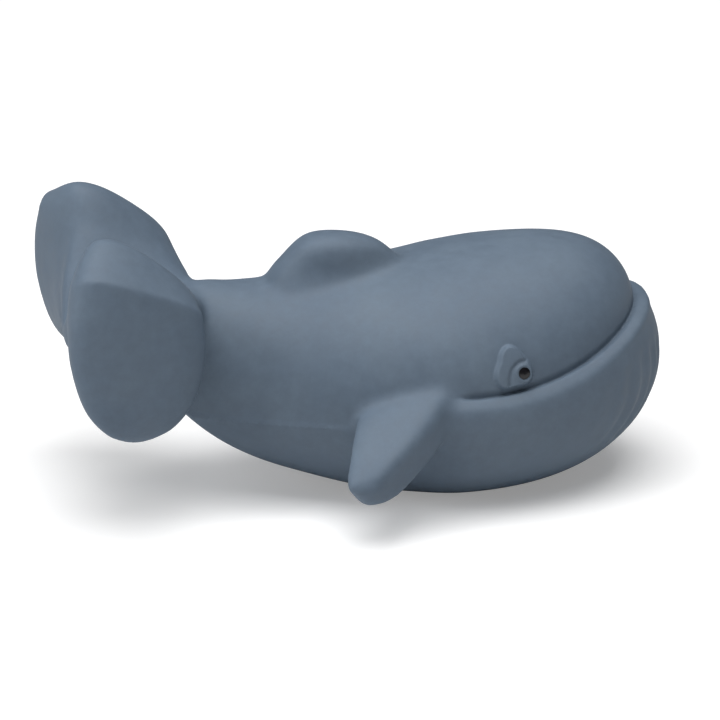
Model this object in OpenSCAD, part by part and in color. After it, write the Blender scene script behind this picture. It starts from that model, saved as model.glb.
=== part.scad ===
/* [Body] */
// Squeaker axis forward to the front of the mouth line
head_reach = 38.5; // [32:0.5:46]
// Squeaker axis back to the end of the tail stock
stock_reach = 60; // [52:0.5:70]
// Width of the body at the seam
body_w = 56; // [48:1:64]
// Width of the tail stock at the seam
stock_w = 20; // [16:0.5:24]
// Height of the head above the floor
head_h = 48.6; // [44:0.1:54]
// Height of the seam from the tail to the flippers
seam_h = 18.8; // [16:0.1:21]
// How far the seam climbs at the end of the tail stock
tail_rise = 5; // [3:0.5:8]
// Height of the mouth corners
corner_h = 24.6; // [22:0.1:27]
// Height of the mouth line at the front
mouth_h = 35; // [31:0.5:39]
// Rubber wall
wall = 2.6; // [2:0.1:3.2]
// Bond line between the two half shells
bond_line = 0.06; // [0.02:0.01:0.1]

/* [Jaw] */
// How far the lower lip stands out past the head
lip_w = 3; // [1.5:0.1:4]
// How far the lip's crest stands above the mouth groove
lip_h = 1; // [0.5:0.1:1.6]
// Chamfer along the seam behind the mouth
seam_groove = 0.35; // [0.2:0.05:0.6]

/* [Rest face] */
// Squeaker axis forward to the front of the flat patch under the belly
rest_front = 14; // [12:0.5:18]
// Squeaker axis back to the rear of the flat patch
rest_back = 18.5; // [14:0.5:21]
// Width of the flat patch under the belly
rest_w = 20; // [18:0.5:26]
// Thickness of the belly floor
floor_t = 5; // [4:0.1:6]

/* [Dorsal fin] */
// Length of the fin at the back line
fin_l = 25.5; // [21:0.5:30]
// Thickness of the fin
fin_w = 9; // [6:0.5:12]
// Height of the fin above the back line
fin_h = 7.2; // [5:0.1:9]
// Fin middle, behind the squeaker axis
fin_back = 21; // [16:0.5:25]

/* [Flukes] */
// Length of the flukes from front rim to trailing rim
fluke_l = 30.5; // [27:0.5:34]
// Distance between the outer faces of the two lobes
fluke_span = 61.5; // [55:0.5:68]
// Height from the lobes' lower tips to their crests
fluke_h = 40; // [35:0.5:44]
// Thickness of the flukes
fluke_t = 9.5; // [8:0.25:11]
// Rubber wall of the hollow flukes
fluke_wall = 1.9; // [1.5:0.1:2.6]

/* [Flippers] */
// How far a flipper stands out from the flank
flipper_reach = 15; // [12:0.5:20]
// How far a flipper's tip hangs below its root
flipper_drop = 12; // [9:0.5:14]
// Length of a flipper along the flank
flipper_chord = 20; // [16:0.5:24]
// Thickness of a flipper
flipper_t = 9; // [7:0.25:11]
// Flipper middle, behind the squeaker axis
flipper_back = 11.5; // [9:0.5:14]

/* [Eyes] */
// Pupil diameter
pupil_d = 2.3; // [1.8:0.1:3]
// Depth of the pupil's socket below the eyelid
socket_depth = 1.5; // [1:0.1:1.8]
// Height of the pupil's dome
pupil_dome = 0.5; // [0.3:0.05:0.8]
// Length of the eyelid
lid_l = 8; // [6.5:0.25:10]
// How far the eyelid stands out
lid_h = 0.9; // [0.5:0.1:1.3]

/* [Squeaker] */
// Outer diameter of the squeaker's tube
tube_d = 12; // [10:0.25:14]
// Height of the squeaker's tube above the belly's floor
tube_h = 9; // [7.5:0.25:11]
// Wall of the squeaker's tube
tube_wall = 1.2; // [0.9:0.05:1.5]
// How far the flange stands out past the tube
flange_out = 1.4; // [1:0.1:2]
// Thickness of the flange
flange_t = 0.9; // [0.7:0.05:1.2]
// Depth of the flange below the rest face
flange_recess = 0.5; // [0.3:0.05:0.8]
// Air port diameter
port_d = 3; // [2.4:0.1:3.6]
// Width of the rubber collar round the tube
collar_t = 3; // [2.2:0.1:4]
// Height of the rubber collar above the belly's floor
collar_h = 5; // [4:0.25:6]

/* [Reed] */
// Width of the reed
reed_w = 4.6; // [3.6:0.1:5.2]
// Thickness of the reed
reed_t = 0.2; // [0.15:0.01:0.25]
// Length of the reed that is free to swing
reed_free = 4; // [3.2:0.1:4.6]
// Length of the reed in its clamp
reed_grip = 1.8; // [1.4:0.1:2.2]
// Room between the reed and its seat
reed_gap = 0.08; // [0.05:0.01:0.12]
// Room between the reed and its clamp
grip_gap = 0.16; // [0.14:0.01:0.22]

/* [Hidden] */
$fn = 48;

// Steps of the skin's grid: from nose to corner, from corner to tail, and up each wall
head_steps = 13;
tail_steps = 14;
wall_steps = 10;
side_steps = head_steps + tail_steps;
loop_n = side_steps + side_steps;

// One overrun serves all cuts, and one fit serves all pieces that are pushed together
cut_over = 0.5;
push_fit = 0.05;

// Smooth curves through hand-chosen shares
function span_of(keys, x, i = 0) = i >= len(keys) - 2 || x < keys[i + 1] ? i : span_of(keys, x, i + 1);
function slope_at(keys, values, i) =
    let(a = max(i - 1, 0), b = min(i + 1, len(keys) - 1))
    (values[b] - values[a]) / (keys[b] - keys[a]);
function smooth_at(keys, values, x) =
    let(i = span_of(keys, x),
        h = keys[i + 1] - keys[i],
        t = (x - keys[i]) / h,
        a = slope_at(keys, values, i) * h,
        b = slope_at(keys, values, i + 1) * h,
        jump = values[i + 1] - values[i])
    values[i] + t * (a + t * ((3 * jump - 2 * a - b) + t * (a + b - 2 * jump)));
function ease(t) = let(c = min(max(t, 0), 1)) c * c * (3 - 2 * c);
function mix(a, b, t) = a + (b - a) * t;
function unit(v) = v / norm(v);
function bend(x, power) = sign(x) * pow(abs(x), power);

// The skin is worked out from a station p along the seam: 0 at the nose, 1 at the
// widest place beside the squeaker, 2 at the end of the tail stock.
head_round_share = 0.94;
stock_taper_share = 0.9;
stock_full_share = 1.25;
stock_end_share = 0.5;
function nose_turn(p) = 90 * min(p, 1);
function tail_share(p) = max(p - 1, 0);
function taper(s) = pow(1 - pow(s, 2 * stock_taper_share), stock_full_share);
function stock_end(s) = pow(1 - pow(s, 14), stock_end_share);
function seam_x(p, inset) =
    p <= 1
        ? (head_reach - inset) * bend(cos(nose_turn(p)), head_round_share)
        : -(stock_reach - inset) * tail_share(p);
function seam_y(p, inset) =
    p <= 1
        ? (body_w / 2 - inset) * bend(sin(nose_turn(p)), head_round_share)
        : (mix(stock_w, body_w, taper(tail_share(p))) / 2 - inset) * stock_end(tail_share(p));
flipper_rise_share = 0.42;
tail_rise_share = 0.85;
function seam_z(p) =
    p <= 1
        ? mix(corner_h, mouth_h, nose_share(p))
        : mix(corner_h, seam_h, ease(tail_share(p) / flipper_rise_share))
            + tail_rise * ease((tail_share(p) - tail_rise_share) / (1 - tail_rise_share));

// Ridge of the back: heights as shares of the head's height, one for each station
ridge_stations = [0, 0.45, 0.81, 1, 1.12, 1.42, 1.58, 1.72, 1.83, 2];
ridge_shares = [0.985, 1, 0.987, 0.961, 0.935, 0.904, 0.885, 0.872, 0.88, 0.85];
ridge_front_share = 0.6;
ridge_back_share = 0.97;
function ridge_z(p, inset) = head_h * smooth_at(ridge_stations, ridge_shares, p) - inset;
function ridge_x(p, inset) =
    p <= 1
        ? head_reach * ridge_front_share * cos(nose_turn(p))
        : -(stock_reach * ridge_back_share - inset) * tail_share(p);

// A point of the back: turn is 0 at the seam and 90 on the ridge
back_full_share = 0.95;
function back_point(p, turn, inset, lift) =
    let(across = 1 - pow(cos(turn), back_full_share),
        up = pow(sin(turn), back_full_share))
    [mix(seam_x(p, inset), ridge_x(p, inset), across),
        -mix(seam_y(p, inset), 0, across),
        mix(seam_z(p) + lift, ridge_z(p, inset), up)];

// A point of the belly: turn is 0 on the rest face and 1 at the lip
chin_turn_share = 0.22;
flank_turn_share = 0.06;
tail_flat_share = 0.6;
function rest_x(p) =
    p <= 1 ? rest_front * cos(nose_turn(p)) : -rest_back * sin(90 * tail_share(p));
function rest_y(p) =
    rest_w / 2 * (p <= 1 ? sin(nose_turn(p)) : cos(90 * tail_share(p)));
function mouth_share(p) = 1 - ease((p - 0.97) / 0.3);
lip_front_share = 1.15;
function nose_share(p) = pow(cos(nose_turn(p)), 2);
function lip_out(p) =
    mix(seam_groove, lip_w * mix(1, lip_front_share, nose_share(p)), mouth_share(p));
function lip_up(p) = lip_h * mouth_share(p);
function out_of(p) =
    let(step = 0.01,
        a = [seam_x(max(p - step, 0), 0), seam_y(max(p - step, 0), 0)],
        b = [seam_x(min(p + step, 2), 0), seam_y(min(p + step, 2), 0)])
    p == 0 ? [1, 0] : p == 2 ? [-1, 0] : unit([a[1] - b[1], b[0] - a[0]] * -1);
function lip_point(p, out, up) =
    let(n = out_of(p))
    [seam_x(p, 0) + n[0] * out, -(seam_y(p, 0) + n[1] * out), seam_z(p) + up];
function belly_point(p, turn, edge, low) =
    let(most = 90 * (1 + mix(flank_turn_share, chin_turn_share, nose_share(p))),
        flat = tail_flat_share * ease(tail_share(p)),
        out = mix(sin(most * turn) / sin(most), turn, flat),
        up = mix((1 - cos(most * turn)) / (1 - cos(most)), turn, flat))
    [mix(rest_x(p), edge[0], out), mix(-rest_y(p), edge[1], out), mix(low, edge[2], up)];

// Stations of the grid, and a loop of points round both sides at one height
function station(k) =
    k <= head_steps ? k / head_steps : 1 + sin(90 * (k - head_steps) / tail_steps * 0.5) / sin(45);
function both_sides(right) =
    [for (k = [0:loop_n - 1]) k <= side_steps
        ? right[k]
        : [right[loop_n - k][0], -right[loop_n - k][1], right[loop_n - k][2]]];
function back_row(turn, inset, lift) =
    both_sides([for (k = [0:side_steps]) back_point(station(k), turn, inset, lift)]);
function back_ridge(inset) =
    [for (k = [0:side_steps]) back_point(station(k), 90, inset, 0)];
function lip_row(out_share, up_share, drop_share) =
    both_sides([for (k = [0:side_steps]) let(p = station(k))
        lip_point(p, lip_out(p) * out_share, lip_up(p) * up_share - lip_out(p) * drop_share)]);
function belly_row(turn) =
    both_sides([for (k = [0:side_steps]) let(p = station(k))
        belly_point(p, turn, lip_point(p, lip_out(p), -lip_out(p) * lip_drop_share), 0)]);
function hollow_row(turn) =
    both_sides([for (k = [0:side_steps]) let(p = station(k))
        belly_point(p, turn, back_point(p, 0, wall, 0), floor_t)]);
lip_drop_share = 0.35;

// A solid from rows of loops, closed below by strips, and above by strips or by a ridge
module skin(rows, ridge = []) {
    top = len(rows) - 1;
    ridged = len(ridge) > 0;
    points = concat([for (row = rows) each row], ridge);
    function at(r, k) =
        r > top
            ? (top + 1) * loop_n + (k <= side_steps ? k : loop_n - k)
            : r * loop_n + k % loop_n;
    walls = [for (r = [0:ridged ? top : top - 1], k = [0:loop_n - 1])
        each [[at(r, k), at(r, k + 1), at(r + 1, k + 1)], [at(r, k), at(r + 1, k + 1), at(r + 1, k)]]];
    below = [for (k = [0:side_steps - 1])
        each [[at(0, k + 1), at(0, k), at(0, loop_n - k)],
            [at(0, k + 1), at(0, loop_n - k), at(0, loop_n - k - 1)]]];
    above = ridged ? [] : [for (k = [0:side_steps - 1])
        each [[at(top, k), at(top, k + 1), at(top, loop_n - k - 1)],
            [at(top, k), at(top, loop_n - k - 1), at(top, loop_n - k)]]];
    faces = [for (f = concat(below, walls, above)) if (f[0] != f[1] && f[1] != f[2] && f[2] != f[0]) f];
    polyhedron(points, faces, convexity = 6);
}

module upper_half() {
    skin([for (r = [0:wall_steps - 1]) back_row(90 * r / wall_steps, 0, bond_line)], back_ridge(0));
}

module lower_half() {
    skin(concat(
        [for (r = [0:wall_steps]) belly_row(r / wall_steps)],
        [lip_row(0.8, 0.75, 0), lip_row(0.45, 1, 0), lip_row(0, 0, 0)]));
}

module hollow() {
    skin(concat(
        [for (r = [0:2:wall_steps]) hollow_row(r / wall_steps)],
        [for (r = [2:2:wall_steps - 2]) back_row(90 * r / wall_steps, wall, 0)]),
        back_ridge(wall));
}

// A closed loft through rings of equal count, drawn to a tip at each end
module loft(rings, first_tip, last_tip) {
    n = len(rings[0]);
    last = len(rings) - 1;
    points = concat([for (ring = rings) each ring], [first_tip, last_tip]);
    tip_a = (last + 1) * n;
    sides = [for (r = [0:last - 1], k = [0:n - 1]) let(m = (k + 1) % n)
        each [[r * n + k, r * n + m, (r + 1) * n + m], [r * n + k, (r + 1) * n + m, (r + 1) * n + k]]];
    ends = [for (k = [0:n - 1]) let(m = (k + 1) % n)
        each [[tip_a, r_at(0, m, n), r_at(0, k, n)], [tip_a + 1, r_at(last, k, n), r_at(last, m, n)]]];
    polyhedron(points, concat(sides, ends), convexity = 4);
}
function r_at(r, k, n) = r * n + k;

// A ring of a plate: an oval across it, from its front to its trailing edge, bowed in between
function plate_ring(front, rear, half, bow, round_share, n) =
    [for (k = [0:n - 1])
        let(a = 360 * k / n,
            across = bend(cos(a), round_share),
            out = bend(sin(a), round_share) - bow * (1 - across * across))
        (front + rear) / 2 + (rear - front) / 2 * across + half * out];

// Half a plate's thickness, square to the plate at each key
function half_thick(front, rear, thick) =
    let(middle = [for (i = [0:len(thick) - 1]) (front[i] + rear[i]) / 2],
        steps = [for (i = [1:len(thick) - 1]) unit(middle[i] - middle[i - 1])])
    [for (i = [0:len(thick) - 1])
        let(along = steps[max(i - 1, 0)] + steps[min(i, len(steps) - 1)])
        unit(cross(rear[i] - front[i], along)) * thick[i] / 2];

// Flukes: front edge, trailing edge and thickness of one lobe, from the middle over its crest
// and its fold to its lower tip, as shares of the flukes' length, half span, height and thickness
fluke_front_shares = [[0.39, 0, -0.098], [0.362, 0.211, -0.098], [0.308, 0.433, -0.088],
    [0.227, 0.637, -0.044], [0.26, 0.699, -0.015], [0.283, 0.735, -0.132], [0.26, 0.761, -0.273],
    [0.189, 0.78, -0.409], [0.081, 0.78, -0.507], [-0.032, 0.78, -0.561]];
fluke_rear_shares = [[-0.573, 0, -0.263], [-0.514, 0.225, -0.058], [-0.444, 0.409, 0.161],
    [-0.449, 0.556, 0.346], [-0.573, 0.828, 0.239], [-0.606, 0.875, 0.054], [-0.595, 0.885, -0.161],
    [-0.514, 0.866, -0.39], [-0.39, 0.837, -0.517], [-0.27, 0.809, -0.57]];
fluke_thick_shares = [1.05, 1.05, 1.04, 1.04, 1.12, 1, 0.98, 0.9, 0.74, 0.46];
fluke_bow_shares = [0, 0.03, 0.12, 0.22, 0.14, 0.02, 0, 0, 0, 0];
fluke_tip_share = [-0.151, 0.79, -0.605];
fluke_fold = 4;
fluke_round_share = 0.6;
fluke_steps = 2;
fluke_ring_n = 24;
lobe_n = len(fluke_front_shares);
fluke_last = 2 * lobe_n - 2;
fluke_base = [-stock_reach, 0, ridge_z(1.83, 0)];
function fluke_place(share) =
    fluke_base + [fluke_l * share[0], fluke_span / 2 * share[1], fluke_h * share[2]];
function mirrored(list) =
    concat([for (i = [len(list) - 1:-1:1]) [list[i][0], -list[i][1], list[i][2]]], list);
function mirrored_scalars(list) = concat([for (i = [len(list) - 1:-1:1]) list[i]], list);
fluke_front = [for (s = mirrored(fluke_front_shares)) fluke_place(s)];
fluke_rear = [for (s = mirrored(fluke_rear_shares)) fluke_place(s)];
fluke_thick = fluke_t * mirrored_scalars(fluke_thick_shares);
fluke_bow = mirrored_scalars(fluke_bow_shares);

// Smooth between the two folds and the tips, sharp at each fold
fluke_ends = [0, lobe_n - 1 - fluke_fold, lobe_n - 1 + fluke_fold, fluke_last];
function folded_at(values, x) =
    let(k = x <= fluke_ends[1] ? 0 : x <= fluke_ends[2] ? 1 : 2,
        keys = [for (i = [fluke_ends[k]:fluke_ends[k + 1]]) i])
    smooth_at(keys, [for (i = keys) values[i]], x);
function fluke_rings(from, to, inset) =
    let(pulls = [for (i = [0:fluke_last]) unit(fluke_rear[i] - fluke_front[i]) * inset],
        front = fluke_front + pulls,
        rear = fluke_rear - pulls,
        half = half_thick(front, rear, [for (t = fluke_thick) t - 2 * inset]))
    [for (j = [from * fluke_steps:to * fluke_steps]) let(x = j / fluke_steps)
        plate_ring(folded_at(front, x), folded_at(rear, x), folded_at(half, x), folded_at(fluke_bow, x),
            fluke_round_share, fluke_ring_n)];

module flukes() {
    far = fluke_place(fluke_tip_share);
    loft(fluke_rings(0, fluke_last, 0), [far[0], -far[1], far[2]], far);
}

// Web of a lobe, which closes it behind from its inner to its outer trailing edge
web_inner_keys = [3.2, 2.7, 2, 1.2, 0.4];
web_outer_keys = [4.3, 5, 6, 7, 7.9];
web_thick_share = 0.92;
web_pull_share = 0.38;
function web_edge(keys) =
    [for (k = keys)
        let(rear = folded_at(fluke_rear, lobe_n - 1 + k), front = folded_at(fluke_front, lobe_n - 1 + k))
        rear - unit(rear - front) * fluke_t * web_pull_share];
module webs() {
    inner = web_edge(web_inner_keys);
    outer = web_edge(web_outer_keys);
    half = half_thick(inner, outer, [for (k = web_inner_keys) fluke_t * web_thick_share]);
    rings = [for (i = [0:len(inner) - 1])
        plate_ring(inner[i], outer[i], half[i], 0, fluke_round_share, fluke_ring_n)];
    for (side = [0, 1])
        mirror([0, side, 0])
            loft(rings, centre(rings[0]), centre(rings[len(rings) - 1]));
}

// Room inside the flukes, which opens into the body through the tail stock
fluke_room_keys = 2;
module fluke_room() {
    rings = fluke_rings(fluke_room_keys, fluke_last - fluke_room_keys, fluke_wall);
    loft(rings, centre(rings[0]), centre(rings[len(rings) - 1]));
}
function centre(ring) = [for (i = [0:2]) let(v = [for (p = ring) p[i]]) (max(v) + min(v)) / 2];

// Fin: stacked slices, each with its length, its width and its place as shares
fin_up_shares = [-0.5, -0.2, 0.05, 0.3, 0.52, 0.72, 0.86, 0.95, 1];
fin_l_shares = [1.23, 1.15, 1.06, 0.92, 0.785, 0.64, 0.49, 0.325, 0.15];
fin_w_shares = [1.7, 1.45, 1.2, 1.06, 1, 0.92, 0.78, 0.58, 0.3];
fin_lean_shares = [0.015, 0.005, 0, 0, -0.008, -0.02, -0.04, -0.063, -0.075];
fin_slice_t = 0.1;
fin_foot = [-fin_back, 0, ridge_z(1 + fin_back / stock_reach, 0)];
module fin_slice(i) {
    translate(fin_foot + [fin_l * fin_lean_shares[i], 0, fin_h * fin_up_shares[i] - fin_slice_t])
        scale([fin_l * fin_l_shares[i], fin_w * fin_w_shares[i], 1])
            cylinder(d = 1, h = fin_slice_t, $fn = 32);
}
module fin() {
    for (i = [0:len(fin_up_shares) - 2])
        hull() {
            fin_slice(i);
            fin_slice(i + 1);
        }
}

// Flippers: front edge, rear edge and thickness from the root to the tip, as shares of the
// flipper's length along the flank, its reach and its drop
flipper_front_shares = [[0.56, -0.25, 0.26], [0.5, 0.05, 0.16], [0.16, 0.5, -0.3], [-0.2, 0.85, -0.74],
    [-0.38, 0.98, -0.93]];
flipper_rear_shares = [[-0.52, -0.25, -0.32], [-0.54, 0.05, -0.38], [-0.6, 0.5, -0.66], [-0.66, 0.85, -0.9],
    [-0.6, 0.98, -0.97]];
flipper_thick_shares = [1.05, 1, 0.92, 0.78, 0.45];
flipper_tip_share = [-0.5, 1.02, -1];
flipper_round_share = 0.5;
flipper_steps = 3;
flipper_ring_n = 16;
flipper_keys = [for (i = [0:len(flipper_front_shares) - 1]) i];
flipper_last = len(flipper_keys) - 1;
flipper_station = 1 + flipper_back / stock_reach;
flipper_root = [-flipper_back, seam_y(flipper_station, 0), seam_z(flipper_station)];
function flipper_place(share) =
    flipper_root + [flipper_chord * share[0], flipper_reach * share[1], flipper_drop * share[2]];
flipper_front = [for (s = flipper_front_shares) flipper_place(s)];
flipper_rear = [for (s = flipper_rear_shares) flipper_place(s)];
function flipper_rings(extra) =
    let(pushes = [for (i = flipper_keys) unit(flipper_rear[i] - flipper_front[i]) * extra],
        front = flipper_front - pushes,
        rear = flipper_rear + pushes,
        half = half_thick(front, rear, [for (s = flipper_thick_shares) flipper_t * s + 2 * extra]))
    [for (j = [0:flipper_last * flipper_steps]) let(x = j / flipper_steps)
        plate_ring(smooth_at(flipper_keys, front, x), smooth_at(flipper_keys, rear, x),
            smooth_at(flipper_keys, half, x), 0, flipper_round_share, flipper_ring_n)];

// The left flipper; extra is the room that its notch in the back leaves round it
module flipper(extra) {
    rings = flipper_rings(extra);
    loft(rings, centre(rings[0]), flipper_place(flipper_tip_share));
}
module flippers(extra) {
    flipper(extra);
    mirror([0, 1, 0])
        flipper(extra);
}

// Eyes: where the pupil sits on the skin, and which way it looks
eye_station = 0.823;
eye_turn = 9.6;
eye_point = back_point(eye_station, eye_turn, 0, bond_line);
function eye_near(p, turn) = back_point(eye_station + p, eye_turn + turn, 0, 0);
eye_along = unit(eye_near(-0.02, 0) - eye_near(0.02, 0));
eye_up_skin = unit(eye_near(0, 2) - eye_near(0, -2));
eye_out = unit(cross(eye_along, eye_up_skin));
eye_up = cross(eye_out, eye_along);

// Stands children on the right eye, +Z looking out of the skin and +X towards the nose
module at_eye() {
    multmatrix([for (i = [0:2]) [eye_along[i], eye_up[i], eye_out[i], eye_point[i]]])
        children();
}

// Eyelid: a drop-shaped pad round the pupil, its places as shares of its length
lid_shares = [[-0.4, -0.02, 0.27], [0, 0, 0.27], [-0.28, 0.54, 0.14]];
module lid() {
    at_eye()
        hull()
            for (s = lid_shares)
                translate([lid_l * s[0], lid_l * s[1], lid_h - lid_l * s[2] * lid_flat_share])
                    scale([1, 1, lid_flat_share])
                        sphere(r = lid_l * s[2], $fn = 24);
}
lid_flat_share = 0.5;

pupil_floor = lid_h - socket_depth;
module pupil() {
    at_eye()
        translate([0, 0, pupil_floor])
            rotate_extrude()
                intersection() {
                    translate([0, socket_depth + pupil_dome - dome_r])
                        circle(r = dome_r);
                    square([pupil_d / 2, socket_depth + pupil_dome]);
                }
}
dome_r = (pow(pupil_d / 2, 2) + pow(pupil_dome, 2)) / (2 * pupil_dome) + socket_depth;

// Heights of the squeaker, up from the rest face
flange_top = flange_recess + flange_t;
tube_top = floor_t + tube_h;
collar_top = floor_t + collar_h;
port_floor = flange_top + flange_t;
bore_d = tube_d - 2 * tube_wall;
flange_d = tube_d + 2 * flange_out;
bead_out = 0.5;
bead_h = 1;
cap_t = 1.2;
cap_plug_h = 1.4;
seat_top = tube_top - cap_plug_h;
seat_d = bore_d - 2 * push_fit;

module back_shell() {
    color("lightslategray")
        difference() {
            union() {
                upper_half();
                flukes();
                webs();
                fin();
                lid();
                mirror([0, 1, 0])
                    lid();
            }
            hollow();
            fluke_room();
            flippers(bond_line);
            eye_sockets();
        }
}

module eye_sockets() {
    for (side = [0, 1])
        mirror([0, side, 0])
            at_eye()
                translate([0, 0, pupil_floor])
                    cylinder(d = pupil_d + 2 * push_fit, h = socket_depth + cut_over);
}

module belly_shell() {
    color("slategray")
        difference() {
            union() {
                difference() {
                    union() {
                        lower_half();
                        flippers(0);
                    }
                    hollow();
                }
                translate([0, 0, floor_t - cut_over])
                    cylinder(d = tube_d + 2 * collar_t, h = collar_h + cut_over);
            }
            translate([0, 0, -cut_over])
                cylinder(d = tube_d, h = collar_top + 2 * cut_over);
            translate([0, 0, -cut_over])
                cylinder(d = flange_d + 2 * push_fit, h = flange_top + cut_over);
        }
}

module left_pupil() {
    color("black")
        mirror([0, 1, 0])
            pupil();
}

module right_pupil() {
    color("black")
        pupil();
}

// Tube with a flange below, an air port in its floor and a bead that snaps over the collar
module squeaker_cup() {
    tube_r = tube_d / 2 - push_fit;
    color("white")
        rotate_extrude()
            polygon([
                [port_d / 2, flange_recess],
                [flange_d / 2, flange_recess],
                [flange_d / 2, flange_top],
                [tube_r, flange_top],
                [tube_r, collar_top],
                [tube_r + bead_out, collar_top + bead_h / 4],
                [tube_r + bead_out, collar_top + bead_h / 2],
                [tube_r, collar_top + bead_h],
                [tube_r, tube_top],
                [bore_d / 2, tube_top],
                [bore_d / 2, port_floor],
                [port_d / 2, port_floor]]);
}

// Perforated lid that holds the reed's seat and clamp down in the tube
cap_hole_d = 1.6;
cap_hole_n = 5;
module squeaker_cap() {
    color("white")
        difference() {
            union() {
                translate([0, 0, tube_top])
                    cylinder(d = tube_d, h = cap_t);
                translate([0, 0, seat_top])
                    cylinder(d = seat_d, h = cap_plug_h);
            }
            for (i = [0:cap_hole_n - 1])
                rotate(360 * i / cap_hole_n)
                    translate([seat_d / 4, 0, seat_top - cut_over])
                        cylinder(d = cap_hole_d, h = cap_plug_h + cap_t + 2 * cut_over, $fn = 24);
        }
}

// Half-round block with the air channel that the reed covers
channel_w_share = 0.5;
channel_depth = 2;
reed_root = seat_top - reed_grip;
reed_tip = reed_root - reed_free;
module half_round(h, from_y) {
    intersection() {
        cylinder(d = seat_d, h = h);
        translate([-seat_d / 2, from_y, 0])
            cube([seat_d, seat_d, h]);
    }
}
module reed_seat() {
    channel_w = reed_w * channel_w_share;
    color("gainsboro")
        difference() {
            translate([0, 0, port_floor])
                half_round(seat_top - port_floor, 0);
            translate([-channel_w / 2, -cut_over, port_floor - cut_over])
                cube([channel_w, channel_depth + cut_over, reed_root - port_floor + cut_over]);
        }
}

// Half-round wedge that presses the reed's root on its seat
module reed_clamp() {
    color("gainsboro")
        translate([0, 0, reed_root])
            rotate(180)
                half_round(reed_grip, reed_gap + reed_t + grip_gap);
}

module reed() {
    color("goldenrod")
        translate([-reed_w / 2, -reed_gap - reed_t, reed_tip])
            cube([reed_w, reed_t, reed_free + reed_grip - reed_gap]);
}

back_shell();
belly_shell();
left_pupil();
right_pupil();
squeaker_cup();
squeaker_cap();
reed_seat();
reed_clamp();
reed();
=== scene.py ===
import math

import bpy
import numpy as np
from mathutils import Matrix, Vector
from mathutils.bvhtree import BVHTree


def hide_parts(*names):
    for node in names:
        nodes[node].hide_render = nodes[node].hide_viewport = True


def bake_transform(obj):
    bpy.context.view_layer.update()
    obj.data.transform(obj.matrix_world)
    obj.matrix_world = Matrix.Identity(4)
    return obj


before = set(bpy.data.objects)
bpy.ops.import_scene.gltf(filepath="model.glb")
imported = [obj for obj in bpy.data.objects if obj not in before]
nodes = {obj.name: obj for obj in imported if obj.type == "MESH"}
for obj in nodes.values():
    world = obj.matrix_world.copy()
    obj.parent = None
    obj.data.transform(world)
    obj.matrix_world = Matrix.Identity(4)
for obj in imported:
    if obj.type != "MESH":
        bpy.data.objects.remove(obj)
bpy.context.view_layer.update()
mm = 0.001
mergeGap = 0.002 * mm
print("frame loaded:", ", ".join(sorted(nodes)))


# Small helpers for selecting, applying and moving points

def pickOnly(obj):
    bpy.ops.object.select_all(action="DESELECT")
    obj.select_set(True)
    bpy.context.view_layer.objects.active = obj


def applyModifier(obj, kind, **settings):
    pickOnly(obj)
    modifier = obj.modifiers.new(kind.lower(), kind)
    for key, value in settings.items():
        setattr(modifier, key, value)
    bpy.ops.object.modifier_apply(modifier=modifier.name)


def cutWith(obj, tool, operation):
    applyModifier(obj, "BOOLEAN", operation=operation, object=tool, solver="MANIFOLD")


def discard(*objs):
    for obj in objs:
        bpy.data.objects.remove(obj)


def duplicate(obj, name):
    copy = bpy.data.objects.new(name, obj.data.copy())
    bpy.context.scene.collection.objects.link(copy)
    return copy


def readPoints(obj, what="co"):
    values = np.empty(len(obj.data.vertices) * 3, np.float32)
    obj.data.vertices.foreach_get(what, values)
    return values.reshape(-1, 3).astype(float)


def writePoints(obj, points):
    obj.data.vertices.foreach_set("co", points.astype(np.float32).ravel())
    obj.data.update()


def ease(t):
    t = np.clip(t, 0, 1)
    return t * t * (3 - 2 * t)


def mix(a, b, t):
    return a + (b - a) * t


def bend(x, power):
    return np.sign(x) * np.abs(x) ** power


def smoothAt(keys, values, x):  # smooth curve through listed values
    keys, values, x = np.asarray(keys, float), np.asarray(values, float), np.asarray(x, float)
    last = len(keys) - 1
    order = np.arange(len(keys))
    low, high = np.maximum(order - 1, 0), np.minimum(order + 1, last)
    deep = (1,) * (values.ndim - 1)
    slopes = (values[high] - values[low]) / (keys[high] - keys[low]).reshape((-1,) + deep)
    i = np.clip(np.searchsorted(keys, x, side="right") - 1, 0, last - 1)
    h = (keys[i + 1] - keys[i]).reshape(x.shape + deep)
    t = (x - keys[i]).reshape(x.shape + deep) / h
    a, b = slopes[i] * h, slopes[i + 1] * h
    jump = values[i + 1] - values[i]
    return values[i] + t * (a + t * ((3 * jump - 2 * a - b) + t * (a + b - 2 * jump)))


def gridFrom(name, rows):  # a grid primitive laid over rows of points, closed and merged
    rows = np.asarray(rows, float)
    tall, wide = rows.shape[:2]
    bpy.ops.object.select_all(action="DESELECT")
    bpy.ops.mesh.primitive_grid_add(x_subdivisions=wide - 1, y_subdivisions=tall - 1, size=1)
    obj = bpy.context.object
    obj.name = name
    writePoints(obj, rows.reshape(-1, 3) * mm)
    bpy.ops.object.mode_set(mode="EDIT")
    bpy.ops.mesh.select_all(action="SELECT")
    bpy.ops.mesh.remove_doubles(threshold=mergeGap)
    bpy.ops.mesh.normals_make_consistent(inside=False)
    bpy.ops.object.mode_set(mode="OBJECT")
    return obj


# Body: sizes in millimetres; station p runs 0 at the nose, 1 beside the squeaker, 2 at the tail

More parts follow.
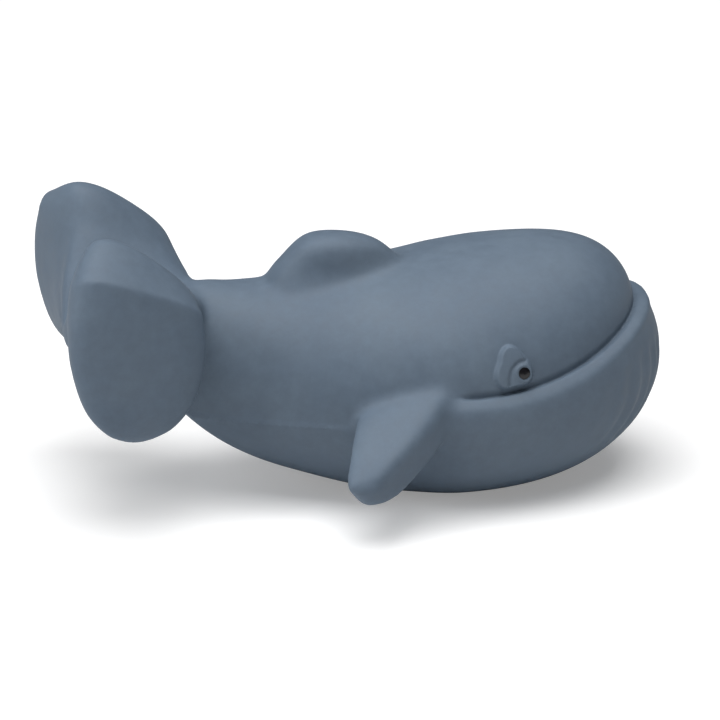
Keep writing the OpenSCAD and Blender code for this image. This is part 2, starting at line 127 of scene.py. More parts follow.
body = {
    "headReach": 38.5, "stockReach": 60, "width": 56, "stockWidth": 20,
    "headHeight": 48.6, "seamHeight": 18.8, "tailRise": 5, "cornerHeight": 24.6, "mouthHeight": 35,
    "lipOut": 3, "lipFront": 1.2, "lipUp": 1, "seamGroove": 0.35, "wall": 2.6, "floor": 5,
    "restFront": 14, "restBack": 18.5, "restWidth": 20,
    "headRound": 0.94, "backRound": 0.95, "ridgeNose": 0.6, "ridgeTail": 0.97,
    "taperLate": 1.8, "taperSoft": 1.25, "tailBlunt": 14, "seamFall": 0.42, "riseFrom": 0.85,
    "flankTuck": 0.06, "chinTuck": 0.235, "tailFlat": 0.6, "mouthTo": 0.97, "mouthFade": 0.3,
    "columns": 280, "restRows": 12, "bellyRows": 44, "lipRows": 14, "backRows": 44,
    "cavityColumns": 112, "cavityLow": 12, "cavityHigh": 14,
}
ridgeStations = [0, 0.45, 0.81, 1, 1.12, 1.42, 1.58, 1.72, 1.83, 2]
ridgeShares = [0.985, 1, 0.987, 0.961, 0.935, 0.89, 0.865, 0.865, 0.878, 0.85]
lipOutShares = [1, 0.93, 0.76, 0.45, 0.16, 0]
lipUpShares = [0, 0.5, 0.86, 1, 1, 0.9]  # from the lip's lower edge over its crest to the head
lipCornerShares = [0, -1.25, -0.65, 0.2, 0.9, 0.9]  # the same towards the mouth's corner, where it slopes
lipDropShare, lipCornerDrop = 0.35, 0.68
lipCornerFrom, lipCornerFade = 0.2, 0.5


def noseTurn(p):
    return np.radians(90 * np.minimum(p, 1))


def noseShare(p):
    return np.cos(noseTurn(p)) ** 2


def tailShare(p):
    return np.maximum(p - 1, 0)


def seamX(p, inset=0):
    head = (body["headReach"] - inset) * bend(np.cos(noseTurn(p)), body["headRound"])
    return np.where(p <= 1, head, -(body["stockReach"] - inset) * tailShare(p))


def seamY(p, inset=0):
    s = tailShare(p)
    head = (body["width"] / 2 - inset) * bend(np.sin(noseTurn(p)), body["headRound"])
    taper = np.clip(1 - s ** body["taperLate"], 0, 1) ** body["taperSoft"]
    tail = mix(body["stockWidth"], body["width"], taper) / 2 - inset
    return np.where(p <= 1, head, tail * np.sqrt(np.clip(1 - s ** body["tailBlunt"], 0, 1)))


def seamZ(p):
    s = tailShare(p)
    head = mix(body["cornerHeight"], body["mouthHeight"], noseShare(p))
    tail = mix(body["cornerHeight"], body["seamHeight"], ease(s / body["seamFall"]))
    rise = ease((s - body["riseFrom"]) / (1 - body["riseFrom"]))
    return np.where(p <= 1, head, tail + body["tailRise"] * rise)


def backPoint(p, turn, inset=0):  # turn is 0 at the seam and 90 on the ridge
    turn = np.radians(turn)
    across = 1 - np.maximum(np.cos(turn), 0) ** body["backRound"]
    up = np.maximum(np.sin(turn), 0) ** body["backRound"]
    ridgeX = np.where(p <= 1, body["headReach"] * body["ridgeNose"] * np.cos(noseTurn(p)),
                      -(body["stockReach"] * body["ridgeTail"] - inset) * tailShare(p))
    ridgeZ = body["headHeight"] * smoothAt(ridgeStations, ridgeShares, p) - inset
    return np.stack([mix(seamX(p, inset), ridgeX, across), -mix(seamY(p, inset), 0, across),
                     mix(seamZ(p), ridgeZ, up)], -1)


def mouthShare(p):
    return 1 - ease((p - body["mouthTo"]) / body["mouthFade"])


def lipPoint(p, out, up):  # a place beside the seam, out across it and up
    step = 0.005
    a, b = np.clip(p - step, 0, 2), np.clip(p + step, 0, 2)
    dx, dy = seamX(b) - seamX(a), seamY(b) - seamY(a)
    length = np.hypot(dx, dy)
    return np.stack([seamX(p) + dy / length * out, -(seamY(p) - dx / length * out), seamZ(p) + up], -1)


def bellyPoint(p, turn, edge, low):  # turn is 0 on the rest face and 1 at the lip
    s = tailShare(p)
    most = np.radians(90 * (1 + mix(body["flankTuck"], body["chinTuck"], noseShare(p))))
    flat = body["tailFlat"] * ease(s)
    out = mix(np.sin(most * turn) / np.sin(most), turn, flat)
    up = mix((1 - np.cos(most * turn)) / (1 - np.cos(most)), turn, flat)
    rest = restPoint(p, 1)
    return np.stack([mix(rest[..., 0], edge[..., 0], out), mix(rest[..., 1], edge[..., 1], out),
                     mix(low, edge[..., 2], up)], -1)


def restPoint(p, across):
    s = np.radians(90 * tailShare(p))
    x = np.where(p <= 1, body["restFront"] * np.cos(noseTurn(p)), -body["restBack"] * np.sin(s))
    y = body["restWidth"] / 2 * np.where(p <= 1, np.sin(noseTurn(p)), np.cos(s))
    return np.stack([x, -y * across, np.zeros_like(x)], -1)


def bothSides(row):
    return np.concatenate([row, row[-2::-1] * [1, -1, 1]])


def stations(columns):
    head = np.linspace(0, 1, columns // 4, endpoint=False)
    most = np.radians(45)  # packs the tail's stations closer towards its end
    tail = 1 + np.sin(most * np.linspace(0, 1, columns // 4 + 1)) / np.sin(most)
    return np.concatenate([head, tail])


def makeBody():
    p = stations(body["columns"])
    lipOut = mix(body["seamGroove"], body["lipOut"] * mix(1, body["lipFront"], noseShare(p)), mouthShare(p))
    lipUp = body["lipUp"] * mouthShare(p)
    corner = mouthShare(p) * ease((p - lipCornerFrom) / lipCornerFade)
    drop = lipOut * mix(lipDropShare, lipCornerDrop, corner)
    edge = lipPoint(p, lipOut, -drop)
    shares = np.linspace(0, 1, body["restRows"], endpoint=False)
    rows = [bothSides(restPoint(p, across)) for across in shares]
    for turn in np.linspace(0, 1, body["bellyRows"], endpoint=False):
        rows.append(bothSides(bellyPoint(p, turn, edge, 0)))
    keys = np.arange(len(lipOutShares))
    for u in np.linspace(0, keys[-1], body["lipRows"], endpoint=False):
        upShare = mix(smoothAt(keys, lipUpShares, u), smoothAt(keys, lipCornerShares, u), corner)
        low = drop * (1 - ease(u))
        rows.append(bothSides(lipPoint(p, lipOut * smoothAt(keys, lipOutShares, u), lipUp * upShare - low)))
    for turn in np.linspace(0, 90, body["backRows"]):
        rows.append(bothSides(backPoint(p, turn)))
    return gridFrom("bodySkin", rows)


def makeCavity():
    p = stations(body["cavityColumns"])
    edge = backPoint(p, 0, body["wall"])
    floor = np.array([0, 0, body["floor"]])
    rows = [bothSides(restPoint(p, across) + floor) for across in (0, 0.5)]
    for turn in np.linspace(0, 1, body["cavityLow"], endpoint=False):
        rows.append(bothSides(bellyPoint(p, turn, edge, body["floor"])))
    for turn in np.linspace(0, 90, body["cavityHigh"]):
        rows.append(bothSides(backPoint(p, turn, body["wall"])))
    return gridFrom("cavity", rows)


# Plates: flukes and flippers are ovals drawn along two edges

def unit(v):
    return v / np.linalg.norm(v, axis=-1, keepdims=True)


def plateRows(edgeA, edgeB, half, bow, power, around):  # ovals across a plate, bowed between its edges
    rows = []
    for a in np.linspace(0, 2 * np.pi, around + 1):
        across = bend(np.cos(a), power)
        out = bend(np.sin(a), power) + bow * (1 - across ** 2)
        rows.append((edgeA + edgeB) / 2 + (edgeB - edgeA) / 2 * across + half * out)
    return rows


def halfThick(front, rear, thick):  # half the plate's thickness as vectors, square to the plate at each key
    middle = (front + rear) / 2
    steps = unit(np.diff(middle, axis=0))
    along = np.concatenate([steps[:1], steps[:-1] + steps[1:], steps[-1:]])
    return unit(np.cross(along, rear - front)) * thick[:, None] / 2


def closedPlate(name, rings, tips):  # rings run round the plate, tips close its two ends
    rings = np.array(rings)
    first = np.repeat(tips[0][None, None], len(rings), 0)
    last = np.repeat(tips[1][None, None], len(rings), 0)
    return gridFrom(name, np.concatenate([first, rings, last], 1))


fluke = {"length": 30.5, "span": 61.5, "height": 40, "rise": 0.88, "thick": 9.5, "wall": 1.9, "power": 0.6,
         "around": 80, "steps": 20, "crease": 4, "roomSteps": 4, "roomTrim": 2}
flukeFront = [[0.39, 0, -0.098], [0.362, 0.211, -0.098], [0.308, 0.433, -0.088], [0.227, 0.637, -0.044],
              [0.26, 0.699, -0.015], [0.283, 0.735, -0.132], [0.26, 0.761, -0.273],
              [0.189, 0.78, -0.409], [0.081, 0.78, -0.507], [-0.032, 0.78, -0.561]]
flukeRear = [[-0.53, 0, -0.255], [-0.514, 0.225, -0.058], [-0.444, 0.409, 0.161],
             [-0.449, 0.556, 0.346], [-0.573, 0.828, 0.239], [-0.606, 0.875, 0.054],
             [-0.595, 0.885, -0.161], [-0.514, 0.866, -0.39], [-0.39, 0.837, -0.517],
             [-0.27, 0.809, -0.57]]
flukeThick = [1.05, 1.05, 1.04, 1.04, 1.12, 1, 0.98, 0.9, 0.74, 0.46]
flukeBow = [0, 0.03, 0.12, 0.22, 0.14, 0.02, 0, 0, 0, 0]
flukeTip = [-0.151, 0.79, -0.605]


def flukePlace(share):
    base = np.array([-body["stockReach"], 0, body["headHeight"] * fluke["rise"]])
    return base + np.asarray(share, float) * [fluke["length"], fluke["span"] / 2, fluke["height"]]


def mirrored(values):
    values = np.asarray(values, float)
    flip = np.array([1, -1, 1]) if values.ndim > 1 else 1
    return np.concatenate([values[:0:-1] * flip, values])


def foldedAt(values, x):  # smooth between the creases, sharp at each
    middle = len(flukeThick) - 1
    low, high = middle - fluke["crease"], middle + fluke["crease"]
    found = np.empty((len(x),) + values.shape[1:])
    spans = [(0, low, x <= low), (low, high, (x > low) & (x <= high)), (high, 2 * middle, x > high)]
    for a, b, chosen in spans:
        found[chosen] = smoothAt(np.arange(a, b + 1), values[a:b + 1], x[chosen])
    return found


def flukeRows(steps, inset, trim):
    front, rear = flukePlace(mirrored(flukeFront)), flukePlace(mirrored(flukeRear))
    pull = unit(rear - front) * inset
    front, rear = front + pull, rear - pull
    half = halfThick(front, rear, fluke["thick"] * mirrored(flukeThick) - 2 * inset)
    last = 2 * len(flukeThick) - 2 - trim
    x = np.linspace(trim, last, (last - trim) * steps + 1)
    parts = [foldedAt(values, x) for values in (front, rear, half, mirrored(flukeBow)[:, None])]
    return plateRows(*parts, fluke["power"], fluke["around"])


def makeFlukes():
    tip = flukePlace(flukeTip)
    return closedPlate("flukes", flukeRows(fluke["steps"], 0, 0), [tip * [1, -1, 1], tip])


def makeFlukeRoom():
    rings = np.array(flukeRows(fluke["roomSteps"], fluke["wall"], fluke["roomTrim"]))
    return closedPlate("flukeRoom", rings, [rings[:, 0].mean(0), rings[:, -1].mean(0)])


web = {"thick": 0.92, "pull": 0.38, "steps": 24, "round": 0.45}
webInner = [3.2, 2.7, 2, 1.2, 0.4]  # keys of the lobe's inner and outer part, from the fold down
webOuter = [4.3, 5, 6, 7, 7.9]


def makeWeb(name, side):  # closes a lobe behind, from its inner to its outer trailing edge
    keys = np.arange(len(webInner))
    x = np.linspace(0, keys[-1], keys[-1] * web["steps"] + 1)
    edges = []
    for ends in (webInner, webOuter):
        along = len(flukeThick) - 1 + smoothAt(keys, ends, x)
        front = foldedAt(flukePlace(mirrored(flukeFront)), along)
        rear = foldedAt(flukePlace(mirrored(flukeRear)), along)
        edges.append(rear - unit(rear - front) * fluke["thick"] * web["pull"])
    close = np.clip((x - keys[-1]) / web["round"] + 1, 0, 0.99)  # rounds off the lower end
    half = halfThick(*edges, fluke["thick"] * web["thick"] * np.sqrt(1 - close ** 2))
    rings = np.array(plateRows(*edges, half, 0, fluke["power"], fluke["around"])) * [1, side, 1]
    return closedPlate(name, rings, [rings[:, 0].mean(0), rings[:, -1].mean(0)])


flipper = {"reach": 15, "drop": 12, "chord": 20, "thick": 9, "back": 11.5, "power": 0.5,
           "around": 64, "steps": 16}
flipperFront = [[0.56, -0.25, 0.26], [0.5, 0.05, 0.16], [0.16, 0.5, -0.3], [-0.2, 0.85, -0.74],
                [-0.38, 0.98, -0.93]]
flipperRear = [[-0.42, -0.25, -0.3], [-0.5, 0.05, -0.37], [-0.6, 0.5, -0.66], [-0.66, 0.85, -0.9],
               [-0.6, 0.98, -0.97]]
flipperThick = [1.05, 1, 0.95, 0.88, 0.6]
flipperSkew = [0, 0.06, 0.14, 0.2, 0.2]  # how far the upper face lies back, which shows the leading face
flipperTip = [-0.5, 1.02, -1]


def makeFlipper(name, side):
    station = np.array([1 + flipper["back"] / body["stockReach"]])
    root = np.array([-flipper["back"], seamY(station)[0], seamZ(station)[0]])
    turn = np.array([1, side, 1])

    def place(share):
        sizes = [flipper["chord"], flipper["reach"], flipper["drop"]]
        return root + np.asarray(share, float) * sizes

    keys = np.arange(len(flipperThick))
    x = np.linspace(keys[0], keys[-1], len(keys[1:]) * flipper["steps"] + 1)
    front, rear = place(flipperFront), place(flipperRear)
    thick = flipper["thick"] * np.array(flipperThick)
    half = halfThick(front, rear, thick) + unit(rear - front) * (thick * flipperSkew)[:, None]
    edges = [smoothAt(keys, values, x) for values in (front, rear, half)]
    rings = np.array(plateRows(*edges, 0, flipper["power"], flipper["around"]))
    return closedPlate(name, rings * turn, [rings[:, 0].mean(0) * turn, place(flipperTip) * turn])


fin = {"length": 26, "width": 10.4, "height": 7.8, "back": 20.8, "egg": 0.16, "power": 0.66,
       "around": 96, "rows": 44}
finUp = [-0.5, -0.2, 0.05, 0.3, 0.52, 0.72, 0.86, 0.95, 1]
finLength = [1.23, 1.15, 1.06, 0.92, 0.785, 0.64, 0.49, 0.325, 0.15]
finWidth = [1.6, 1.42, 1.22, 1.1, 1.03, 0.94, 0.79, 0.58, 0.3]
finLean = [0.015, 0.005, 0, 0, -0.008, -0.02, -0.04, -0.063, -0.075]


def makeFin():
    station = 1 + fin["back"] / body["stockReach"]
    foot = np.array([-fin["back"], 0, body["headHeight"] * smoothAt(ridgeStations, ridgeShares, station)])
    keys = np.arange(len(finUp))
    angles = np.linspace(0, 2 * np.pi, fin["around"] + 1)
    rows = []
    for u in np.linspace(0, keys[-1], fin["rows"]):
        length, width = (fin[k] * smoothAt(keys, v, u) / 2 for k, v in
                         (("length", finLength), ("width", finWidth)))
        lean, up = fin["length"] * smoothAt(keys, finLean, u), fin["height"] * smoothAt(keys, finUp, u)
        egg = width * (1 - fin["egg"] * np.cos(angles))  # wider behind
        rows.append(np.stack([lean + length * np.cos(angles), egg * bend(np.sin(angles), fin["power"]),
                              np.full_like(angles, up)], -1) + foot)
    ends = [np.repeat(row.mean(0)[None], len(angles), 0) for row in (rows[0], rows[-1])]
    return gridFrom("fin", [ends[0], *rows, ends[1]])


# One soft skin from all the moulded forms, with fillets where they meet

skin = {"voxel": 0.62, "passes": 6, "filletPasses": 36, "filletGain": 1.4, "least": 0.01, "factor": 0.5}
fillets = [("flukes", "bodySkin", 4.0), ("fin", "bodySkin", 4.2), ("rightFlipper", "bodySkin", 2.6),
           ("leftFlipper", "bodySkin", 2.6), ("rightWeb", "flukes", 3.0), ("leftWeb", "flukes", 3.0)]


def nearTree(obj):
    return BVHTree.FromPolygons([v.co for v in obj.data.vertices], [p.vertices for p in obj.data.polygons])


def makeSkin():
    parts = [makeFlukes(), makeWeb("rightWeb", -1), makeWeb("leftWeb", 1), makeFin(),
             makeFlipper("rightFlipper", -1), makeFlipper("leftFlipper", 1)]
    whole = makeBody()
    trees = {part.name: nearTree(part) for part in parts + [whole]}
    pickOnly(whole)
    for part in parts:
        part.select_set(True)
    bpy.ops.object.join()
    applyModifier(whole, "REMESH", mode="VOXEL", voxel_size=skin["voxel"] * mm)
    points = readPoints(whole)
    weights = np.zeros(len(points))
    for form, base, reach in fillets:
        for i, point in enumerate(points):
            gap = trees[form].find_nearest(point, reach * mm)[3]
            onto = trees[base].find_nearest(point, reach * mm)[3] if gap is not None else None
            if onto is not None:
                near = 1 - max(gap, onto) / (reach * mm)
                weights[i] = max(weights[i], ease(skin["filletGain"] * near))
    group = whole.vertex_groups.new(name="fillet")
    for i in np.nonzero(weights > skin["least"])[0]:
        group.add([int(i)], float(weights[i]), "REPLACE")
    applyModifier(whole, "SMOOTH", factor=skin["factor"], iterations=skin["passes"])
    applyModifier(whole, "SMOOTH", factor=skin["factor"], iterations=skin["filletPasses"],
                  vertex_group="fillet")
    whole.vertex_groups.clear()
    whole.name = "skin"
    print("skin:", len(whole.data.polygons), "faces,", int((weights > 0.5).sum()), "points in fillets")
    return whole


# Fine moulding: mouth line, chin pleats, eyelids and the seam's flash, carved into a finer mesh

detail = {
    "evenPasses": 10, "evenFactor": 0.5, "seamCount": 60,
    "mouthDepth": 1.4, "mouthWidth": 0.62, "mouthFrom": 0.96, "mouthEnd": 1.06, "mouthLast": 1.12,
    "mouthOut": 0.1, "mouthWay": (0.6, 0.8), "mouthReach": 1.9, "mouthCuts": 2, "mouthCount": 420,
    "mouthCoarse": 160, "mouthBack": -14, "mouthLow": 18, "mouthHigh": 40,
    "pleatDepth": 0.5, "pleatPitch": 3.6, "pleatSpan": 54, "pleatTop": 4.5, "pleatFoot": 7, "pleatFrom": 8,
    "pleatSideFade": 14, "pleatTopFade": 4, "pleatFootFade": 8, "pleatRound": 0.727,
    "flashUp": 0.24, "flashWidth": 0.28, "flashFrom": 1.30, "flashTo": 1.93, "flashCount": 300,
    "flashFade": 40, "flashFront": -12, "flashHigh": 26,
}
eye = {
    "station": 0.823, "turn": 9.6, "lidUp": 1.15, "lidEdge": 1.0, "lidRise": 0.9, "lidMiddle": (-1.9, 0.6),
    "ringUp": 0.16, "ringRadius": 1.5, "ringWidth": 0.26,
    "foldDepth": 0.36, "foldWidth": 0.4, "foldCount": 120,
    "socketWidth": 2.4, "socketDepth": 1.5, "socketTop": 3, "zoneMiddle": (-2, 1), "zone": 9, "zoneDeep": 5,
    "fineZone": 6.2, "fineLow": -3.5, "fineDeep": 4, "fineCuts": 3,
}
lidOutline = [(2.35, 0.3), (1.2, 3.4), (-1.7, 6.2), (-4.7, 3.4), (-6.1, -0.3), (-4.9, -2.5), (-1.8, -2.75),
              (1.4, -2.3)]  # round the eyelid, from the pupil's middle, towards the nose and up
lidFold = [(0.9, 2.3), (-0.6, 2.2), (-2.2, 1.2), (-2.9, -0.2), (-3.3, -1.8)]


def hill(gap, width):  # 1 on a line, fading to both sides of it
    return np.exp(-(gap / width) ** 2)


def toLine(points, line, chunk=40):  # distance of each point to a dense line, and where along it
    nearest = np.full(len(points), 1e9)
    where = np.zeros(len(points), int)
    for start in range(0, len(line), chunk):
        gaps = np.linalg.norm(points[:, None] - line[None, start:start + chunk], axis=2)
        best = gaps.argmin(1)
        gap = gaps[np.arange(len(points)), best]
        closer = gap < nearest
        nearest[closer], where[closer] = gap[closer], start + best[closer]
    return nearest, where


def seamLine(first, last, count):  # the right side's seam between two stations
    p = np.linspace(first, last, count)
    return np.stack([seamX(p), -seamY(p), seamZ(p)], -1)


def mouthLine(count):  # the corner between lip and head, the way into it, and how deep it is cut
    p = np.linspace(0, detail["mouthLast"], count)
    line = lipPoint(p, detail["mouthOut"], body["lipUp"] * mouthShare(p) * lipUpShares[-1])
    inward = unit(lipPoint(p, 0, 0) - lipPoint(p, *detail["mouthWay"]))
    return line, inward, 1 - ease((p - detail["mouthFrom"]) / (detail["mouthEnd"] - detail["mouthFrom"]))


def sideSign(points):  # turns what is on the left over to the right
    return np.where(points[:, 1:2] > 0, [[1, -1, 1]], [[1, 1, 1]])


def atMouth(right):
    high = (right[:, 2] > detail["mouthLow"]) & (right[:, 2] < detail["mouthHigh"])
    return np.nonzero((right[:, 0] > detail["mouthBack"]) & high)[0]


def refine(obj, keep, cuts):  # splits the faces whose middle passes the test, and evens them out
    middles = np.empty(len(obj.data.polygons) * 3, np.float32)
    obj.data.polygons.foreach_get("center", middles)
    chosen = keep(middles.reshape(-1, 3) / mm)
    pickOnly(obj)
    bpy.ops.object.mode_set(mode="EDIT")
    bpy.ops.mesh.select_all(action="DESELECT")
    bpy.ops.mesh.select_mode(type="FACE")
    bpy.ops.object.mode_set(mode="OBJECT")
    obj.data.polygons.foreach_set("select", chosen)
    bpy.ops.object.mode_set(mode="EDIT")
    bpy.ops.mesh.subdivide(number_cuts=cuts)
    bpy.ops.object.mode_set(mode="OBJECT")
    picked = np.zeros(len(obj.data.vertices), bool)
    obj.data.vertices.foreach_get("select", picked)
    group = obj.vertex_groups.new(name="fine")
    group.add(np.nonzero(picked)[0].tolist(), 1.0, "REPLACE")
    applyModifier(obj, "SMOOTH", factor=detail["evenFactor"], iterations=detail["evenPasses"],
                  vertex_group="fine")
    obj.vertex_groups.clear()


def eyeFrame(step=0.02, tilt=2):  # the pupil's middle, and the ways along, up and out from it
    def at(dp, dt):
        return backPoint(np.array([eye["station"] + dp]), eye["turn"] + dt)[0]

    along = unit(at(-step, 0) - at(step, 0))
    out = unit(np.cross(along, unit(at(0, tilt) - at(0, -tilt))))
    return at(0, 0), along, np.cross(out, along), out


def eyePlane(points):  # along, up and out from each point's own pupil, both eyes alike
    origin, along, up, out = eyeFrame()
    offset = np.stack([points[:, 0], -np.abs(points[:, 1]), points[:, 2]], -1) - origin
    return offset @ along, offset @ up, offset @ out


def nearEye(along, up, out, zone, deep):
    return (np.hypot(along - eye["zoneMiddle"][0], up - eye["zoneMiddle"][1]) < zone) & (np.abs(out) < deep)


def pullMouth(points, right):  # draws the skin in along the mouth line
    line, inward, depth = mouthLine(detail["mouthCount"])
    low = atMouth(right)
    gap, where = toLine(right[low], line)
    pull = detail["mouthDepth"] * depth[where] * hill(gap, detail["mouthWidth"])
    points[low] += inward[where] * sideSign(points[low]) * pull[:, None]


def pleatPush(right):
    turn = np.degrees(np.arctan2(-right[:, 1] / detail["pleatRound"], right[:, 0]))
    seam = seamLine(0, 1, detail["seamCount"])[::-1]
    below = np.interp(right[:, 0], seam[:, 0], seam[:, 2]) - right[:, 2]
    zone = ease((detail["pleatSpan"] - turn) / detail["pleatSideFade"])
    zone *= ease((below - detail["pleatTop"]) / detail["pleatTopFade"])
    foot = ease((right[:, 2] - detail["pleatFoot"]) / detail["pleatFootFade"])
    zone *= foot * (right[:, 0] > detail["pleatFrom"])
    wave = 0.5 - 0.5 * np.cos(2 * np.pi * right[:, 1] / detail["pleatPitch"])
    return -detail["pleatDepth"] * zone * wave


def flashPush(right):
    push = np.zeros(len(right))
    low = np.nonzero((right[:, 0] < detail["flashFront"]) & (right[:, 2] < detail["flashHigh"]))[0]
    count, fade = detail["flashCount"], detail["flashFade"]
    gap, where = toLine(right[low], seamLine(detail["flashFrom"], detail["flashTo"], count))
    fades = ease(where / fade) * ease((count - 1 - where) / fade)
    push[low] = detail["flashUp"] * fades * hill(gap, detail["flashWidth"])
    return push


def lidPush(points):  # raised lid with a fold over the eye, and a rim round the pupil
    push = np.zeros(len(points))
    along, up, out = eyePlane(points)
    close = np.nonzero(nearEye(along, up, out, eye["zone"], eye["zoneDeep"]))[0]
    a, u = along[close], up[close]
    outline = np.array(lidOutline) - eye["lidMiddle"]
    angles = np.unwrap(np.arctan2(outline[:, 1], outline[:, 0]))
    reach = np.hypot(*outline.T)
    keys = np.concatenate([angles[-2:] - 2 * np.pi, angles, angles[:2] + 2 * np.pi])
    reaches = np.concatenate([reach[-2:], reach, reach[:2]])
    overA, overU = a - eye["lidMiddle"][0], u - eye["lidMiddle"][1]
    around = np.arctan2(overU, overA)
    around = np.where(around < angles[0] - np.pi / 8, around + 2 * np.pi, around)
    inside = smoothAt(keys, reaches, around) - np.hypot(overA, overU)
    push[close] += eye["lidUp"] * ease(inside / eye["lidEdge"])
    fold = smoothAt(range(len(lidFold)), lidFold, np.linspace(0, len(lidFold) - 1, eye["foldCount"]))
    gap = toLine(np.stack([a, u], -1), fold)[0]
    push[close] -= eye["foldDepth"] * hill(gap, eye["foldWidth"])
    push[close] += eye["ringUp"] * hill(np.hypot(a, u) - eye["ringRadius"], eye["ringWidth"])
    return push


def carve(obj):
    points, normals = readPoints(obj) / mm, readPoints(obj, "normal")
    right = points * sideSign(points)
    pullMouth(points, right)
    push = pleatPush(right) + flashPush(right) + lidPush(points)
    points += normals * push[:, None]
    points[:, 2] = np.maximum(points[:, 2], 0)
    writePoints(obj, points * mm)


def addDetails(obj):
    def nearMouth(middles):
        right = middles * sideSign(middles)
        chosen = np.zeros(len(right), bool)
        low = atMouth(right)
        line = mouthLine(detail["mouthCoarse"])[0]
        chosen[low] = toLine(right[low], line)[0] < detail["mouthReach"]
        return chosen

    def atLids(middles):
        along, up, out = eyePlane(middles)
        return nearEye(along, up, out, eye["fineZone"], eye["fineDeep"]) & (up > eye["fineLow"])

    refine(obj, nearMouth, detail["mouthCuts"])
    refine(obj, atLids, eye["fineCuts"])
    carve(obj)
    print("details:", len(obj.data.polygons), "faces after carving")


# Two half shells: hollowed, bored for the squeaker and parted along the seam

shell = {"collarWidth": 18, "collarTop": 10, "collarSink": 0.5, "bore": 12, "recess": 14.9,
         "recessTop": 1.4, "overrun": 1, "smoothAngle": 50}
parting = {"groove": 0.25, "wide": 60, "top": 70, "tail": 40, "noseCount": 120,
           "flankCount": 160, "flipperBump": 6.5, "bumpFrom": -27, "bumpTo": 4, "bumpFade": 6,
           "lobeFront": -49.7, "lobeRear": -101, "lobeInside": 15.2, "lobeFoot": 12, "lobeTop": 65}


def makeDisc(width, low, high):
    bpy.ops.object.select_all(action="DESELECT")
    bpy.ops.mesh.primitive_cylinder_add(vertices=64, radius=width / 2 * mm, depth=(high - low) * mm,
                                        location=(0, 0, (low + high) / 2 * mm))
    bpy.ops.object.transform_apply()
    return bpy.context.object


def makeBlock(low, high):
    bpy.ops.object.select_all(action="DESELECT")
    bpy.ops.mesh.primitive_cube_add(size=1)
    block = bpy.context.object
    writePoints(block, (readPoints(block) + 0.5) * (np.array(high) - low) * mm + np.array(low) * mm)
    return block


def makeSocket(side):
    origin, along, up, out = eyeFrame()
    socket = makeDisc(eye["socketWidth"], eye["lidRise"] - eye["socketDepth"], eye["socketTop"])
    points = readPoints(socket) / mm
    points = origin + points[:, :1] * along + points[:, 1:2] * up + points[:, 2:] * out
    writePoints(socket, points * [1, side, 1] * mm)
    if side < 0:
        socket.data.flip_normals()
    return socket


def partingHeight(x, z):  # the seam, lifted over the flippers that belong to the belly
    near = ease((x - parting["bumpFrom"]) / parting["bumpFade"])
    return z + parting["flipperBump"] * near * ease((parting["bumpTo"] - x) / parting["bumpFade"])


def makeParting():  # a block over the seam that holds all of the back, with both fluke lobes
    p = np.linspace(0, body["mouthTo"], parting["noseCount"])
    nose = lipPoint(p, parting["groove"], 0)
    p = np.linspace(body["mouthTo"], 2, parting["flankCount"])
    flank = np.stack([seamX(p), np.full_like(p, -parting["wide"]), seamZ(p)], -1)
    row = np.concatenate([nose, flank, flank[-1:] - [parting["tail"], 0, 0]])
    row[:, 2] = partingHeight(row[:, 0], row[:, 2])
    lids = [row * [1, across, 1] for across in (-1, 1)]
    tops = [lid * [1, 1, 0] + [0, 0, parting["top"]] for lid in lids]
    prism = gridFrom("parting", np.swapaxes([tops[0], lids[0], lids[1], tops[1], tops[0]], 0, 1))
    pickOnly(prism)
    bpy.ops.object.mode_set(mode="EDIT")
    bpy.ops.mesh.select_all(action="SELECT")
    bpy.ops.mesh.fill_holes(sides=0)
    bpy.ops.mesh.normals_make_consistent(inside=False)
    bpy.ops.object.mode_set(mode="OBJECT")
    for side in (-1, 1):
        across = sorted((side * parting["lobeInside"], side * parting["wide"]))
        block = makeBlock([parting["lobeRear"], across[0], parting["lobeFoot"]],
                          [parting["lobeFront"], across[1], parting["lobeTop"]])
        cutWith(prism, block, "UNION")
        discard(block)
    return prism


def makeShells(whole):
    past = shell["overrun"]
    collar = makeDisc(shell["collarWidth"], body["floor"] - shell["collarSink"], shell["collarTop"])
    steps = [(makeCavity(), "DIFFERENCE"), (makeFlukeRoom(), "DIFFERENCE"), (collar, "UNION"),
             (makeDisc(shell["bore"], -past, shell["collarTop"] + past), "DIFFERENCE"),
             (makeDisc(shell["recess"], -past, shell["recessTop"]), "DIFFERENCE"),
             (makeSocket(1), "DIFFERENCE"), (makeSocket(-1), "DIFFERENCE")]
    for tool, operation in steps:
        cutWith(whole, tool, operation)
        discard(tool)
    divider = makeParting()
    back = duplicate(whole, "backSkin")
    cutWith(back, divider, "INTERSECT")
    cutWith(whole, divider, "DIFFERENCE")
    whole.name = "bellySkin"
    discard(divider)
    for piece in (back, whole):
        pickOnly(piece)
        bpy.ops.object.shade_smooth_by_angle(angle=math.radians(shell["smoothAngle"]))
        faces = piece.data.polygons
        print(piece.name, len(faces), "faces,", sum(len(f.vertices) - 2 for f in faces), "triangles")
    return back, whole


# Rubber, plastic and brass

